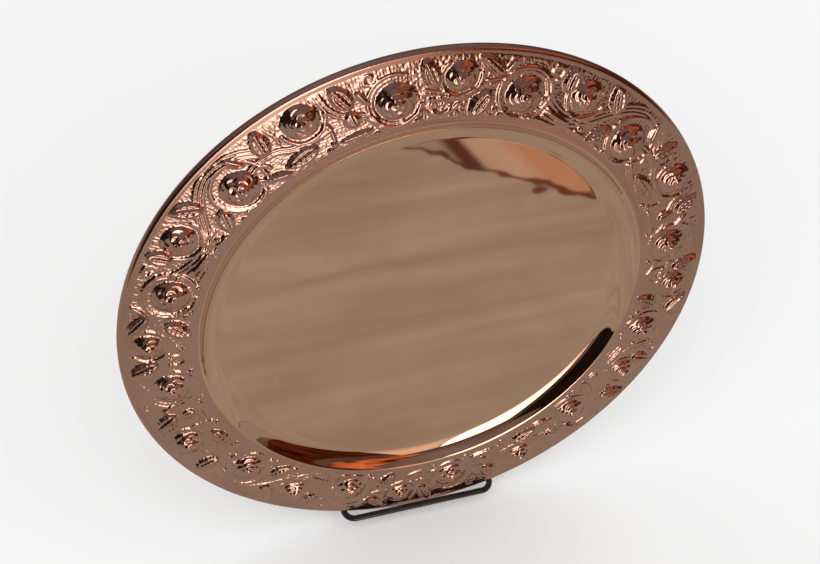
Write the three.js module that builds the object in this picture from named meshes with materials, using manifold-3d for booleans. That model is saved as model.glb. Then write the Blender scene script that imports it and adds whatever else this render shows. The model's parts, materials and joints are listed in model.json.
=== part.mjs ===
// A round copper serving tray with an embossed rim, standing in a folding wire easel.
// Millimetres, +Z up. The tray faces -Y, and the origin is on the table, in the middle of the footprint.
import * as THREE from "three";
import { mergeVertices } from "three/addons/utils/BufferGeometryUtils.js";
import Module from "manifold-3d";

const wasm = await Module();
wasm.setup();

const radians = THREE.MathUtils.degToRad;

// Tray: heights are along its axis, from the plane of the wire in its rolled edge
const trayRadius = 150;
const sheetThickness = 0.8;
const edgeRollRadius = 2; // outside of the rolled edge
const borderWidth = 4.7; // flat, plain border beside the rolled edge
const shoulderRadius = 114; // where the rim turns down into the well
const shoulderHeight = 4.1; // top of the shoulder
const shoulderRound = 2.6;
const floorHeight = -2; // top of the well's flat floor
const wallFootAngle = 12; // degrees, how steep the well's curved wall starts
const wallTopAngle = 48; // and how steep it meets the shoulder
const shoulderEnd = 88; // degrees round the shoulder, where the rim's outward fall takes over
const curlEnd = -180; // degrees, where the rolled edge stops under the rim
const trayLean = radians(15);
const trayFacets = 96;
const wallSteps = 6;
const shoulderSteps = 4;
const curlSteps = 12;
const edgeWireSides = 8;

// Easel
const fitGap = 0.3; // between touching pieces
const wireRadius = 1.75;
const wireSides = 10;
const bendSteps = 6;
const archSteps = 12;
const armHeight = 8; // centre of the lip's wire above the table
const seatAngle = radians(16.6); // each resting point, from the tray's lowest point
const lipInFront = 5; // centre of the lip's bar, in front of the tray's edge plane
const lipBend = 6;
const armPastUpright = 3.5;
const frameLean = radians(11);
const frameHeight = 190;
const lowerBarHeight = 25;
const hingeHeight = 125;
const rearLegAngle = radians(30); // from the vertical, when open
const stopHeight = 16; // the rear leg's top bar above the hinge, along the frame
const rearLegBend = 5;
const turnedSides = 20; // facets round sleeves, caps and the hinge bar
const sleeveLength = 6;
const sleeveWall = 1.2;
const headRadius = 2.7; // upset ends of the hinge bar
const headLength = 1.4;
const headChamfer = 0.5;
const capRadius = 2.9;
const capLength = 5.4;
const capChamfer = 0.5;
const capFloor = 2.4; // from the table to the end of the cap's bore, along the leg

const copper = new THREE.MeshStandardMaterial({ color: 0xb06f55, metalness: 1, roughness: 0.12 });
const steel = new THREE.MeshStandardMaterial({ color: 0x8f8f8c, metalness: 1, roughness: 0.4 });
const blackPaint = new THREE.MeshStandardMaterial({ color: 0x141212, metalness: 0, roughness: 0.3 });
const blackVinyl = new THREE.MeshStandardMaterial({ color: 0x1a1a1a, metalness: 0, roughness: 0.7 });

// Side view helpers: a direction in the Y-Z plane, from its angle back from the vertical.
const upward = (lean) => new THREE.Vector3(0, Math.sin(lean), Math.cos(lean));
const backward = (lean) => new THREE.Vector3(0, Math.cos(lean), -Math.sin(lean));
const along = (start, direction, distance) => start.clone().addScaledVector(direction, distance);
const atX = (point, x) => new THREE.Vector3(x, point.y, point.z);

function arcPoints(centreX, centreY, radiusX, radiusY, fromDegrees, toDegrees, steps) {
  const points = [];
  for (let i = 0; i <= steps; i++) {
    const angle = radians(fromDegrees + ((toDegrees - fromDegrees) * i) / steps);
    points.push(
      new THREE.Vector2(centreX + radiusX * Math.cos(angle), centreY + radiusY * Math.sin(angle)),
    );
  }
  return points;
}

// The closed outline of a sheet whose middle follows the given line, out along its underside and back on top.
function sheetOutline(middle, thickness) {
  const side = (i, sign) => {
    const before = middle[Math.max(i - 1, 0)];
    const after = middle[Math.min(i + 1, middle.length - 1)];
    const direction = after.clone().sub(before).normalize();
    const offset = (sign * thickness) / 2;
    return new THREE.Vector2(middle[i].x - direction.y * offset, middle[i].y + direction.x * offset);
  };
  const under = middle.map((_, i) => side(i, -1));
  const top = middle.map((_, i) => side(i, 1));
  return [...under, ...top.reverse()];
}

function traySection() {
  const half = sheetThickness / 2;
  const wallFoot = floorHeight - half;
  const round = shoulderRound;
  const shoulderCentre = shoulderHeight - half - round;
  const footCosine = Math.cos(radians(wallFootAngle));
  const topCosine = Math.cos(radians(wallTopAngle));
  const wallRadius = (shoulderCentre + round * topCosine - wallFoot) / (footCosine - topCosine);
  const wallCentre = new THREE.Vector2(
    shoulderRadius - (wallRadius + round) * Math.sin(radians(wallTopAngle)),
    wallFoot + wallRadius * footCosine,
  );
  const wallStart = wallFootAngle - 90;
  const wallEnd = wallTopAngle - 90;
  const shoulder = arcPoints(
    shoulderRadius,
    shoulderCentre,
    round,
    round,
    wallTopAngle + 90,
    shoulderEnd,
    shoulderSteps,
  );
  const rollCentre = trayRadius - edgeRollRadius;
  const rollMiddle = edgeRollRadius - half;
  return [
    new THREE.Vector2(0, wallFoot),
    ...arcPoints(wallCentre.x, wallCentre.y, wallRadius, wallRadius, wallStart, wallEnd, wallSteps),
    ...shoulder.slice(1),
    new THREE.Vector2(trayRadius - borderWidth, rollMiddle),
    ...arcPoints(rollCentre, 0, rollMiddle, rollMiddle, 90, curlEnd, curlSteps),
  ];
}

function makeTray() {
  const tray = new THREE.Group();
  const outline = sheetOutline(traySection(), sheetThickness);
  const sheet = new THREE.Mesh(new THREE.LatheGeometry(outline, trayFacets), copper);
  sheet.name = "tray_sheet";
  const edge = trayRadius - edgeRollRadius;
  const edgeWireRadius = edgeRollRadius - sheetThickness - fitGap;
  const ring = arcPoints(edge, 0, edgeWireRadius, edgeWireRadius, 0, 360, edgeWireSides);
  ring[ring.length - 1] = ring[0].clone();
  const edgeWire = new THREE.Mesh(new THREE.LatheGeometry(ring, trayFacets), steel);
  edgeWire.name = "rim_edge_wire";
  tray.add(sheet, edgeWire);
  tray.rotation.x = Math.PI - trayLean;
  return tray;
}

// The corners of a bent wire, each rounded to the bend radius by a few stations.
function roundedCorners(corners, bendRadius, steps) {
  const stations = [corners[0].clone()];
  for (let i = 1; i < corners.length - 1; i++) {
    const back = corners[i - 1].clone().sub(corners[i]).normalize();
    const on = corners[i + 1].clone().sub(corners[i]).normalize();
    const halfAngle = back.angleTo(on) / 2;
    const centre = along(
      corners[i],
      back.clone().add(on).normalize(),
      bendRadius / Math.sin(halfAngle),
    );
    const start = along(corners[i], back, bendRadius / Math.tan(halfAngle)).sub(centre);
    const axis = back.clone().cross(on).normalize();
    const turn = 2 * halfAngle - Math.PI;
    for (let step = 0; step <= steps; step++) {
      const point = start.clone().applyAxisAngle(axis, (turn * step) / steps).add(centre);
      if (point.distanceTo(stations.at(-1)) > fitGap) stations.push(point);
    }
  }
  stations.push(corners.at(-1).clone());
  return stations;
}

// The middle line of a bent wire, with one section at each station, however long the stretch between two is.
class BentWire extends THREE.Curve {
  constructor(stations) {
    super();
    this.stations = stations;
  }
  getPoint(t, target = new THREE.Vector3()) {
    const place = t * (this.stations.length - 1);
    const i = Math.min(Math.floor(place), this.stations.length - 2);
    return target.lerpVectors(this.stations[i], this.stations[i + 1], place - i);
  }
  getTangent(t, target = new THREE.Vector3()) {
    const last = this.stations.length - 1;
    const i = Math.round(t * last);
    const to = (k) => this.stations[k + 1].clone().sub(this.stations[k]).normalize();
    return target.copy(to(Math.max(i - 1, 0))).add(to(Math.min(i, last - 1))).normalize();
  }
  getUtoTmapping(u) {
    return u;
  }
}

function wireMesh(name, corners, bendRadius = 0, steps = bendSteps) {
  const stations = roundedCorners(corners, bendRadius, steps);
  const section = new THREE.Shape(
    arcPoints(0, 0, wireRadius, wireRadius, 0, 360, wireSides).slice(0, wireSides),
  );
  const mesh = new THREE.Mesh(
    new THREE.ExtrudeGeometry(section, {
      steps: stations.length - 1,
      extrudePath: new BentWire(stations),
    }),
    blackPaint,
  );
  mesh.name = name;
  return mesh;
}

// A turned piece: the outline is radius and height, and its axis points along the given direction.
function turnedGeometry(outline, sides, base, direction) {
  const geometry = new THREE.LatheGeometry(
    outline.map(([radius, height]) => new THREE.Vector2(radius, height)),
    sides,
  );
  const turn = new THREE.Quaternion().setFromUnitVectors(new THREE.Vector3(0, 1, 0), direction);
  return geometry.applyQuaternion(turn).translate(base.x, base.y, base.z);
}

function solidOf(geometry) {
  const bare = new THREE.BufferGeometry().setAttribute("position", geometry.getAttribute("position"));
  if (geometry.index) bare.setIndex(geometry.index);
  const merged = mergeVertices(bare);
  return new wasm.Manifold(
    new wasm.Mesh({
      numProp: 3,
      vertProperties: merged.attributes.position.array,
      triVerts: new Uint32Array(merged.index.array),
    }),
  );
}

function geometryOf(solid) {
  const { vertProperties, triVerts } = solid.getMesh();
  const geometry = new THREE.BufferGeometry();
  geometry.setAttribute("position", new THREE.BufferAttribute(vertProperties, 3));
  geometry.setIndex(new THREE.BufferAttribute(triVerts, 1));
  geometry.computeVertexNormals();
  return geometry;
}

// A vinyl cup on the end of a leg, cut level with the table.
function footCap(name, foot, legDirection) {
  const bore = wireRadius + fitGap;
  const cup = turnedGeometry(
    [
      [0, -capRadius],
      [capRadius, -capRadius],
      [capRadius, capLength - capChamfer],
      [capRadius - capChamfer, capLength],
      [bore, capLength],
      [bore, capFloor],
      [0, capFloor],
    ],
    turnedSides,
    foot,
    legDirection,
  );
  const block = 4 * capLength;
  const belowTable = new THREE.BoxGeometry(block, block, block).translate(foot.x, foot.y, -block / 2);
  const cap = new THREE.Mesh(geometryOf(solidOf(cup).subtract(solidOf(belowTable))), blackVinyl);
  cap.name = name;
  return cap;
}

function hingeSleeve(name, middle) {
  const inner = wireRadius + fitGap;
  const outer = inner + sleeveWall;
  const half = sleeveLength / 2;
  const sleeve = new THREE.Mesh(
    turnedGeometry(
      [
        [inner, -half],
        [outer, -half],
        [outer, half],
        [inner, half],
        [inner, -half],
      ],
      turnedSides,
      middle,
      new THREE.Vector3(1, 0, 0),
    ),
    blackPaint,
  );
  sleeve.name = name;
  return sleeve;
}

// The bar between the uprights that the rear leg turns on, with an upset head at each end.
function hingeBar(middle, length) {
  const half = length / 2;
  const bar = new THREE.Mesh(
    turnedGeometry(
      [
        [0, -half],
        [headRadius - headChamfer, -half],
        [headRadius, -half + headChamfer],
        [headRadius, -half + headLength],
        [wireRadius, -half + headLength],
        [wireRadius, half - headLength],
        [headRadius, half - headLength],
        [headRadius, half - headChamfer],
        [headRadius - headChamfer, half],
        [0, half],
      ],
      turnedSides,
      middle,
      new THREE.Vector3(1, 0, 0),
    ),
    blackPaint,
  );
  bar.name = "easel_hinge_bar";
  return bar;
}

function makeEasel(trayCentre, seat) {
  const easel = new THREE.Group();
  const besideWire = 2 * wireRadius + fitGap;
  const armX = seat.x;
  const uprightX = armX + besideWire;

  // The tray leans on the top of the arched frame.
  const trayBack = sheetThickness - floorHeight;
  const topBehind = backward(trayLean).multiplyScalar(trayBack + fitGap + wireRadius);
  const topAlong = (frameHeight - trayCentre.z - topBehind.z) / Math.cos(trayLean);
  const frameTop = along(trayCentre, upward(trayLean), topAlong).add(topBehind);
  const frameAt = (height) =>
    along(frameTop, upward(frameLean), (height - frameHeight) / Math.cos(frameLean));

  const wireEnd = capFloor + fitGap;
  const frontFoot = frameAt(0);
  const frontEnd = along(frontFoot, upward(frameLean), wireEnd);
  easel.add(
    wireMesh(
      "easel_front_frame",
      [
        atX(frontEnd, -uprightX),
        atX(frameTop, -uprightX),
        atX(frameTop, uprightX),
        atX(frontEnd, uprightX),
      ],
      uprightX,
      archSteps,
    ),
  );

  const lipY = seat.planeY - lipInFront / Math.cos(trayLean);
  const armEndY = frameAt(armHeight).y + armPastUpright;
  easel.add(
    wireMesh(
      "easel_lip_wire",
      [
        new THREE.Vector3(-armX, armEndY, armHeight),
        new THREE.Vector3(-armX, lipY, armHeight),
        new THREE.Vector3(armX, lipY, armHeight),
        new THREE.Vector3(armX, armEndY, armHeight),
      ],
      lipBend,
    ),
  );

  const lowerBar = along(frameAt(lowerBarHeight), backward(frameLean), besideWire);
  const lowerBarEnd = uprightX + wireRadius;
  easel.add(wireMesh("easel_lower_cross_bar", [atX(lowerBar, -lowerBarEnd), atX(lowerBar, lowerBarEnd)]));

  const hinge = along(frameAt(hingeHeight), backward(frameLean), besideWire);
  const sleeveX = uprightX + wireRadius + 2 * fitGap + sleeveLength / 2;
  const hingeBarLength = 2 * (sleeveX + sleeveLength / 2 + 2 * fitGap + headLength);
  easel.add(hingeBar(hinge, hingeBarLength));

  // The rear leg runs behind its sleeves, up to a top bar that stops against the uprights.
  const legUp = upward(-rearLegAngle);
  const besideSleeve = wireRadius + fitGap + sleeveWall + fitGap + wireRadius;
  const legAtHinge = along(hinge, backward(-rearLegAngle), besideSleeve);
  const stopBar = along(hinge, upward(frameLean), stopHeight);
  const rearFoot = along(legAtHinge, legUp, -legAtHinge.z / Math.cos(rearLegAngle));
  const rearEnd = along(rearFoot, legUp, wireEnd);
  easel.add(
    wireMesh(
      "easel_rear_leg",
      [
        atX(rearEnd, -sleeveX),
        atX(legAtHinge, -sleeveX),
        atX(stopBar, -sleeveX),
        atX(stopBar, sleeveX),
        atX(legAtHinge, sleeveX),
        atX(rearEnd, sleeveX),
      ],
      rearLegBend,
    ),
  );

  for (const [side, sign] of [
    ["left", -1],
    ["right", 1],
  ]) {
    easel.add(
      hingeSleeve("hinge_sleeve_" + side, atX(hinge, sign * sleeveX)),
      footCap("front_foot_cap_" + side, atX(frontFoot, sign * uprightX), upward(frameLean)),
      footCap("rear_foot_cap_" + side, atX(rearFoot, sign * sleeveX), legUp),
    );
  }
  return easel;
}

// Where the rolled edge rests on the lip's two arms, seen from the front, with the tray's centre at y = 0.
function seatOnArms() {
  const edge = trayRadius - edgeRollRadius;
  const squash = Math.cos(trayLean);
  const onEdge = new THREE.Vector2(edge * Math.sin(seatAngle), -edge * Math.cos(seatAngle) * squash);
  const outward = new THREE.Vector2(Math.sin(seatAngle) * squash, -Math.cos(seatAngle)).normalize();
  const arm = onEdge.addScaledVector(outward, edgeRollRadius + fitGap + wireRadius);
  return { x: arm.x, drop: -arm.y, planeY: arm.y * Math.tan(trayLean) };
}

const seat = seatOnArms();
const trayCentre = new THREE.Vector3(0, 0, armHeight + seat.drop);
const tray = makeTray();
tray.position.copy(trayCentre);
const assembly = new THREE.Group();
assembly.add(tray, makeEasel(trayCentre, seat));

// The origin is halfway between the lip and the rear feet.
const footprint = new THREE.Box3().setFromObject(assembly, true);
assembly.position.y = -(footprint.min.y + footprint.max.y) / 2;

const group = new THREE.Group();
group.add(assembly);
export default group;
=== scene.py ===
"""The looks of an embossed copper tray standing in a folding wire easel."""
import json
import math

import bmesh
import bpy
import numpy as np
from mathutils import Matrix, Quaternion, Vector


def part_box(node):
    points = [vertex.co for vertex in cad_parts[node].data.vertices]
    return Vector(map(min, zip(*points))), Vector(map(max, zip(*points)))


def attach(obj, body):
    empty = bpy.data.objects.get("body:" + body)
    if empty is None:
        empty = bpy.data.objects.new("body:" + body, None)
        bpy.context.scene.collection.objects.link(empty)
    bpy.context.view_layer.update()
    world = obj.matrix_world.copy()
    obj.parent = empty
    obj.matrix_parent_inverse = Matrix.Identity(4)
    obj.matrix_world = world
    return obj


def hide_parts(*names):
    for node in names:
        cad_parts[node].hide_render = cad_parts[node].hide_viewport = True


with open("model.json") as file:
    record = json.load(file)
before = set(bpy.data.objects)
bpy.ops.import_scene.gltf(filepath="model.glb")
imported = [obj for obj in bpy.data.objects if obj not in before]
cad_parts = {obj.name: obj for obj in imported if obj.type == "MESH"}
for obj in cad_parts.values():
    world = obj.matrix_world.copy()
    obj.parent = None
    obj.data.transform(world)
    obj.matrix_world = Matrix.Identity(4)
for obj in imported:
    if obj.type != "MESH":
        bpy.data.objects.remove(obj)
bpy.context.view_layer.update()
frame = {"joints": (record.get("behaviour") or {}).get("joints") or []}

MM = 0.001
GAP = 0.3 * MM  # between touching pieces

# The camera, about a point on the tray
CAMERA_LENS = 55.2
CAMERA_ELEVATION = math.radians(55.8)
CAMERA_AZIMUTH = math.radians(-23.5)
CAMERA_ROLL = math.radians(9.6)
CAMERA_DISTANCE = 0.608
AIM_RIGHT, AIM_UP = -8.2 * MM, 20.4 * MM  # from the tray's centre, across and up its face

# The tray's section, in millimetres: radius, and height above the plane of its rolled edge
SHEET = 0.8
ROLL_RADIUS = 2.0
ROLL_SKIN = ROLL_RADIUS - 0.03  # drawn with more steps than the CAD, so a touch smaller
BORDER_WIDTH = 4.7
SHOULDER_RADIUS, SHOULDER_HEIGHT, SHOULDER_ROUND = 114.0, 4.1, 2.6
FLOOR_HEIGHT = -2.0
LEVEL_END = 117.2  # the plain band round the well is level as far as this
WELL_EDGE = 113.2  # the bright polish of the well ends here
WALL_FOOT_ANGLE, WALL_TOP_ANGLE = 12.0, 48.0  # how steep the well's wall starts and ends
FLOOR_EASE = ((2.0, 0.0), (1.0, 0.03), (0.0, 0.13))  # in from the floor's edge, and up

# The embossing
REPEATS = 4
FIRST_ROSE = math.radians(42.3)  # anticlockwise from the tray's right
BAND_INNER, BAND_OUTER = 115.9, 146.3
BAND_FADE = 0.9  # from the smooth rim to the full height of the embossing
INNER_JOIN, OUTER_JOIN, BORDER = 115.4, 146.6, 147.3  # smooth rings beside the embossing
ROW_STEP = 0.45
FINE_COLUMNS = 1632
BACK_COLUMNS = FINE_COLUMNS // 2
PLAIN_COLUMNS = FINE_COLUMNS // 4
DOT_PITCH, DOT_HEIGHT, DOT_SEED = 1.35, 0.55, 7  # the punched ground
STEM, RISE = 1.4, 0.75  # width and height of the thick stems
FINE, LOW = 1.15, 0.5  # and of the thin ones
BEAD_SIZE, BEAD_HEIGHT = 1.25, 1.1

# The easel
LEG_ANGLE = math.radians(30)  # the rear leg leans this far from upright
LIP_BEND, LEG_BEND = 6 * MM, 5 * MM
WIRE_BREAK = 0.35 * MM  # the softened edge at a wire's end
BAR_HEAD, BAR_SOFT = 1.4 * MM, 0.5 * MM  # the upset ends of the hinge bar, and how far they are rounded
SLEEVE_WALL, SLEEVE_SOFT = 1.2 * MM, 0.3 * MM
CAP_RADIUS, CAP_LENGTH, CAP_FLOOR, CAP_SOFT = 2.9 * MM, 5.4 * MM, 2.4 * MM, 0.5 * MM

# The stage: the sky is as bright at the horizon as the floor that it lights, so no edge shows
FLOOR_ALBEDO = 0.87
SKY = (0.78, 0.955)  # at the horizon and overhead
FLOOR_REACH = 30
SOFTBOX_SIZE = 1.4
SOFTBOXES = (((-0.9, -0.9, 1.9), 8), ((1.2, 0.9, 1.8), 6))  # location, power

# What the polish mirrors
ROOM_RADIUS = 4
TABLE_CORNERS = ((-3, -0.64), (0.15, -0.70), (1.6, -2.4), (3, -2.4), (3, 3), (-3, 3))
TABLE_LIFT = 0.5 * MM  # over the floor
CLOTH_OUT = (0.38, 0.68)  # metres out: the ragged edge and the cloth past it are set out in this
CLOTH_ACROSS = (0.10, 0.35)  # metres to the right: the cloth's colours are set out in this
FEATHER = 0.05  # of a card's width and height, at each edge
DAYLIGHT = ((0.3, (2.9, 2.7, 2.3, 1)), (0.7, (3.8, 3.6, 3.1, 1)))
SILL = ((0.3, (1.2, 1.1, 0.95, 1)), (0.7, (1.8, 1.7, 1.5, 1)))
LIT_WALL = ((0.3, (0.65, 0.52, 0.40, 1)), (0.7, (1.0, 0.82, 0.64, 1)))
SHADE = ((0.3, (0.006, 0.004, 0.003, 1)), (0.7, (0.02, 0.015, 0.012, 1)))
DARK_WOOD = ((0.3, (0.025, 0.005, 0.002, 1)), (0.7, (0.15, 0.035, 0.014, 1)))
LIT_WOOD = ((0.35, (0.12, 0.022, 0.007, 1)), (0.52, (0.65, 0.18, 0.065, 1)), (0.7, (1.0, 0.38, 0.17, 1)))
CARDS = (  # azimuth, elevation, width, height, slant, distance, grain, colours
    ("window", -1.5, 1, 19, 40, 0, 1.6, 2.0, DAYLIGHT),
    ("window_sill", -1.5, -13, 20, 15, 0, 1.55, 2.0, SILL),
    ("window_reveal", 12.5, 1, 9, 38, 0, 1.5, 2.0, LIT_WALL),
    ("curtain", -40, 10, 44, 46, 0, 1.6, 2.0, SHADE),
    ("cabinet", 58, 11, 96, 22, 14, 1.6, 2.5, DARK_WOOD),
    ("cabinet_top", 42, 33, 52, 18, 14, 1.6, 4.0, LIT_WOOD),
)


# ---------------------------------------------------------------- frame

tray_low, tray_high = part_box("tray_sheet")
TRAY_CENTRE = (tray_low + tray_high) / 2
TRAY_RADIUS = (tray_high.x - tray_low.x) / 2 / MM
roll_middle = TRAY_RADIUS - ROLL_RADIUS
TRAY_LEAN = math.asin(((tray_high.y - tray_low.y) / 2 / MM - ROLL_RADIUS) / roll_middle)
TRAY_RIGHT = Vector((1, 0, 0))
TRAY_UP = Vector((0, math.sin(TRAY_LEAN), math.cos(TRAY_LEAN)))
TRAY_FACE = Vector((0, -math.cos(TRAY_LEAN), math.sin(TRAY_LEAN)))


# ---------------------------------------------------------------- camera


def make_camera():
    aim = TRAY_CENTRE + AIM_RIGHT * TRAY_RIGHT + AIM_UP * TRAY_UP
    back = Vector(
        (
            math.sin(CAMERA_AZIMUTH) * math.cos(CAMERA_ELEVATION),
            -math.cos(CAMERA_AZIMUTH) * math.cos(CAMERA_ELEVATION),
            math.sin(CAMERA_ELEVATION),
        )
    )
    camera = bpy.data.objects.new("camera", bpy.data.cameras.new("camera"))
    camera.data.sensor_width = 36
    camera.data.lens = CAMERA_LENS
    camera.rotation_mode = "QUATERNION"
    camera.location = aim + CAMERA_DISTANCE * back
    roll = Quaternion((0, 0, 1), CAMERA_ROLL)
    camera.rotation_quaternion = (-back).to_track_quat("-Z", "Y") @ roll
    bpy.context.scene.collection.objects.link(camera)
    bpy.context.scene.camera = camera


# ---------------------------------------------------------------- embossing


class Ground:
    """A patch of the rim, in millimetres, on which embossed shapes are laid."""

    def __init__(self, columns, radii):
        turn = 2 * math.pi / REPEATS
        self.angle, self.radius = np.meshgrid(np.arange(columns) * turn / columns, radii)
        self.x = self.radius * np.cos(self.angle)
        self.y = self.radius * np.sin(self.angle)
        self.height = np.zeros_like(self.x)

    def local(self, degrees, share, tilt=0.0):
        """Coordinates round a point: along its tilt from the tangent, and across, outwards."""
        turn = 2 * math.pi / REPEATS
        at, radius = math.radians(degrees), share * TRAY_RADIUS
        away = (self.angle - at + turn / 2) % turn - turn / 2
        u = self.radius * np.sin(away)
        v = self.radius * np.cos(away) - radius
        c, s = math.cos(math.radians(tilt)), math.sin(math.radians(tilt))
        return u * c + v * s, v * c - u * s

    def raise_to(self, height):
        self.height = np.maximum(self.height, height)


def smooth_step(low, high, x):
    t = np.clip((x - low) / (high - low), 0, 1)
    return t * t * (3 - 2 * t)


def dome(distance, power=0.5):
    return np.clip(1 - distance**2, 0, 1) ** power


def lobe(across, along, middle_across, middle_along, size):
    """Distance from a petal's middle, as a share of its size."""
    return np.hypot(across - middle_across, along - middle_along) / size


def rose(ground, degrees, share, size, height, spin):
    """A domed flower: rings of petals that overlap and curl up at their edges, round a tight bud."""
    u, v = ground.local(degrees, share)
    distance = np.hypot(u, v) / size
    petals = np.zeros_like(distance)
    rings = (  # count, reach of the middles, petal size, level, curl, turn
        (5, 0.52, 0.48, 0.06, 0.36, 0.0),
        (4, 0.34, 0.38, 0.34, 0.36, 0.7),
        (3, 0.18, 0.27, 0.60, 0.36, 1.9),
    )
    for count, reach, petal_size, level, curl, turn in rings:
        for k in range(count):
            at = spin + turn + 2 * math.pi * k / count
            middle = reach * size * math.cos(at), reach * size * math.sin(at)
            inside = lobe(u, v, *middle, petal_size * size)
            tuck = (u * math.sin(at) - v * math.cos(at)) / (petal_size * size)
            raised = level + curl * inside**2 + 0.10 * tuck
            raised *= 1 - 0.8 * smooth_step(0.82, 1.0, inside)
            covered = petals * (1 - 0.5 * (inside < 0.82))
            petals = np.where(inside < 1, np.maximum(raised, covered), petals)
    bud = np.hypot(u, v) / (0.17 * size)
    petals = np.where(bud < 1, 0.75 + 0.25 * dome(bud), petals)
    body = 0.40 * dome(distance, 0.62) + 0.68 * petals * dome(distance, 0.35)
    ground.raise_to(height * body * (1 - smooth_step(0.96, 1.02, distance)))


def leaf(ground, degrees, share, tilt, length, width, height, folds):
    """A pointed leaf, its edge toothed, with long folds; its middle is at the given point."""
    along, across = ground.local(degrees, share, tilt)
    p = np.clip(along / length + 0.5, 0, 1)
    teeth = 1 + 0.07 * np.cos(2 * math.pi * 6 * p)
    half = width / 2 * np.sin(math.pi * p**0.8) ** 0.75 * teeth + 1e-6
    side = across / half
    body = dome(np.clip(np.abs(side), 0, 1), 0.55)
    fold = np.cos(math.pi * folds * 0.5 * side) ** 2
    nick = 0.5 + 0.5 * np.cos(2 * math.pi * (6 * p - 0.8 * np.abs(side)))
    inside = (np.abs(side) < 1) & (np.abs(along) < length / 2)
    shape = body * (0.38 + 0.54 * fold + 0.08 * nick)
    ground.raise_to(np.where(inside, height * shape, 0))


def ridge(ground, points, width, height):
    """A raised line along a smooth curve through points of degrees and share of the radius."""
    path = curve_through(points, 24)
    turn = 2 * math.pi / REPEATS
    nearest = np.full_like(ground.x, 1e9)
    for degrees, share in path:
        radius = share * TRAY_RADIUS
        away = (ground.angle - math.radians(degrees) + turn / 2) % turn - turn / 2
        squared = (away * ground.radius) ** 2 + (ground.radius - radius) ** 2
        nearest = np.minimum(nearest, squared)
    ground.raise_to(height * dome(np.clip(np.sqrt(nearest) / (width / 2), 0, 1)))


def curve_through(points, steps):
    """Catmull-Rom samples through the points."""
    p = [np.array(point, float) for point in points]
    p = [2 * p[0] - p[1], *p, 2 * p[-1] - p[-2]]
    made = []
    for a, b, c, d in zip(p, p[1:], p[2:], p[3:]):
        slope, square, cube = c - a, 2 * a - 5 * b + 4 * c - d, 3 * b - a - 3 * c + d
        for t in np.arange(steps) / steps:
            made.append(0.5 * (2 * b + slope * t + square * t**2 + cube * t**3))
    made.append(p[-2])
    return made


def scroll(ground, degrees, share, first, last, start, end, width, height):
    """A raised line that curls round a point, from one angle and size to another."""
    steps = 14
    points = []
    for i in range(steps + 1):
        angle = math.radians(start + (end - start) * i / steps)
        reach = first + (last - first) * i / steps
        radius = share + reach * math.sin(angle) / TRAY_RADIUS
        turn = reach * math.cos(angle) / (share * TRAY_RADIUS)
        points.append((degrees + math.degrees(turn), radius))
    ridge(ground, points, width, height)


def bead(ground, degrees, share, size, height):
    u, v = ground.local(degrees, share)
    ground.raise_to(height * dome(np.clip(np.hypot(u, v) / size, 0, 1)))


ROSES = (  # degrees, share of the radius, size, height, spin
    (0.0, 0.858, 8.9, 4.2, 0.3),
    (29.3, 0.857, 8.8, 4.2, 2.1),
    (55.6, 0.862, 8.8, 4.2, 4.0),
    (15.9, 0.902, 8.0, 3.7, 1.2),
    (42.9, 0.908, 7.2, 3.6, 5.1),
    (73.2, 0.918, 8.3, 3.9, 3.0),
)
LEAVES = (  # degrees, share, tilt, length, width, height, folds
    (9.6, 0.943, 52, 16, 8.8, 2.7, 3),
    (7.8, 0.816, -58, 13, 7.0, 2.5, 3),
    (20.8, 0.936, 84, 12, 8.5, 2.6, 3),
    (19.6, 0.812, 10, 14, 4.0, 1.7, 2),
    (37.4, 0.943, 36, 15, 6.5, 2.4, 3),
    (38.4, 0.815, -62, 14, 9.5, 2.8, 4),
    (48.8, 0.928, 70, 15, 8.0, 2.8, 3),
    (65.2, 0.930, 66, 14, 9.0, 2.6, 3),
    (64.6, 0.852, 84, 8, 7.5, 1.8, 4),
    (65.0, 0.795, 0, 15, 3.4, 1.6, 2),
    (76.8, 0.814, -4, 16, 8.0, 2.6, 3),
    (81.3, 0.930, 100, 14, 8.0, 2.5, 3),
    (83.0, 0.806, 24, 12, 4.5, 1.7, 2),
    (12.3, 0.790, 10, 8, 3.2, 1.2, 2),
    (33.6, 0.945, 120, 9, 3.6, 1.4, 2),
    (61.6, 0.905, 60, 9, 3.4, 1.4, 2),
    (87.0, 0.935, 60, 10, 5.0, 1.8, 2),
)
SCROLLS = (  # degrees, share, first and last size, first and last angle, width, height
    # rings of stem round the roses
    (0.0, 0.860, 13.4, 12.0, 215, -130, STEM, RISE),
    (0.0, 0.860, 11.2, 10.6, 20, -150, FINE, LOW),
    (29.3, 0.860, 12.8, 12.2, 250, -95, STEM, RISE),
    (29.3, 0.860, 10.9, 10.9, 200, -60, FINE, LOW),
    (55.6, 0.862, 12.8, 11.8, 110, -160, STEM, RISE),
    (55.6, 0.862, 10.8, 10.4, 100, -100, FINE, LOW),
    (15.9, 0.900, 10.6, 10.0, 180, 370, STEM, RISE),
    (42.9, 0.905, 9.6, 9.2, 170, 410, STEM, RISE),
    (73.2, 0.915, 10.8, 10.2, 185, 355, STEM, RISE),
    # small curls in the gaps
    (47.0, 0.825, 5.4, 1.8, 200, 560, FINE, RISE),
    (85.0, 0.845, 4.8, 1.6, 180, -220, FINE, RISE),
    (24.4, 0.945, 4.2, 1.4, 250, -60, FINE, RISE),
    (59.6, 0.955, 3.8, 1.4, 200, 520, FINE, LOW),
)
VINES = (  # how many stems side by side, their spacing as a share of the radius, width, height
    (3, 0.0125, FINE, RISE),
    (2, 0.012, FINE, RISE),
    (1, 0, FINE, LOW),
    (2, 0.012, FINE, RISE),
    (1, 0, STEM, RISE),
    (2, 0.012, FINE, RISE),
    (1, 0, FINE, LOW),
    (2, 0.012, FINE, RISE),
    (1, 0, FINE, LOW),
)
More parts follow.
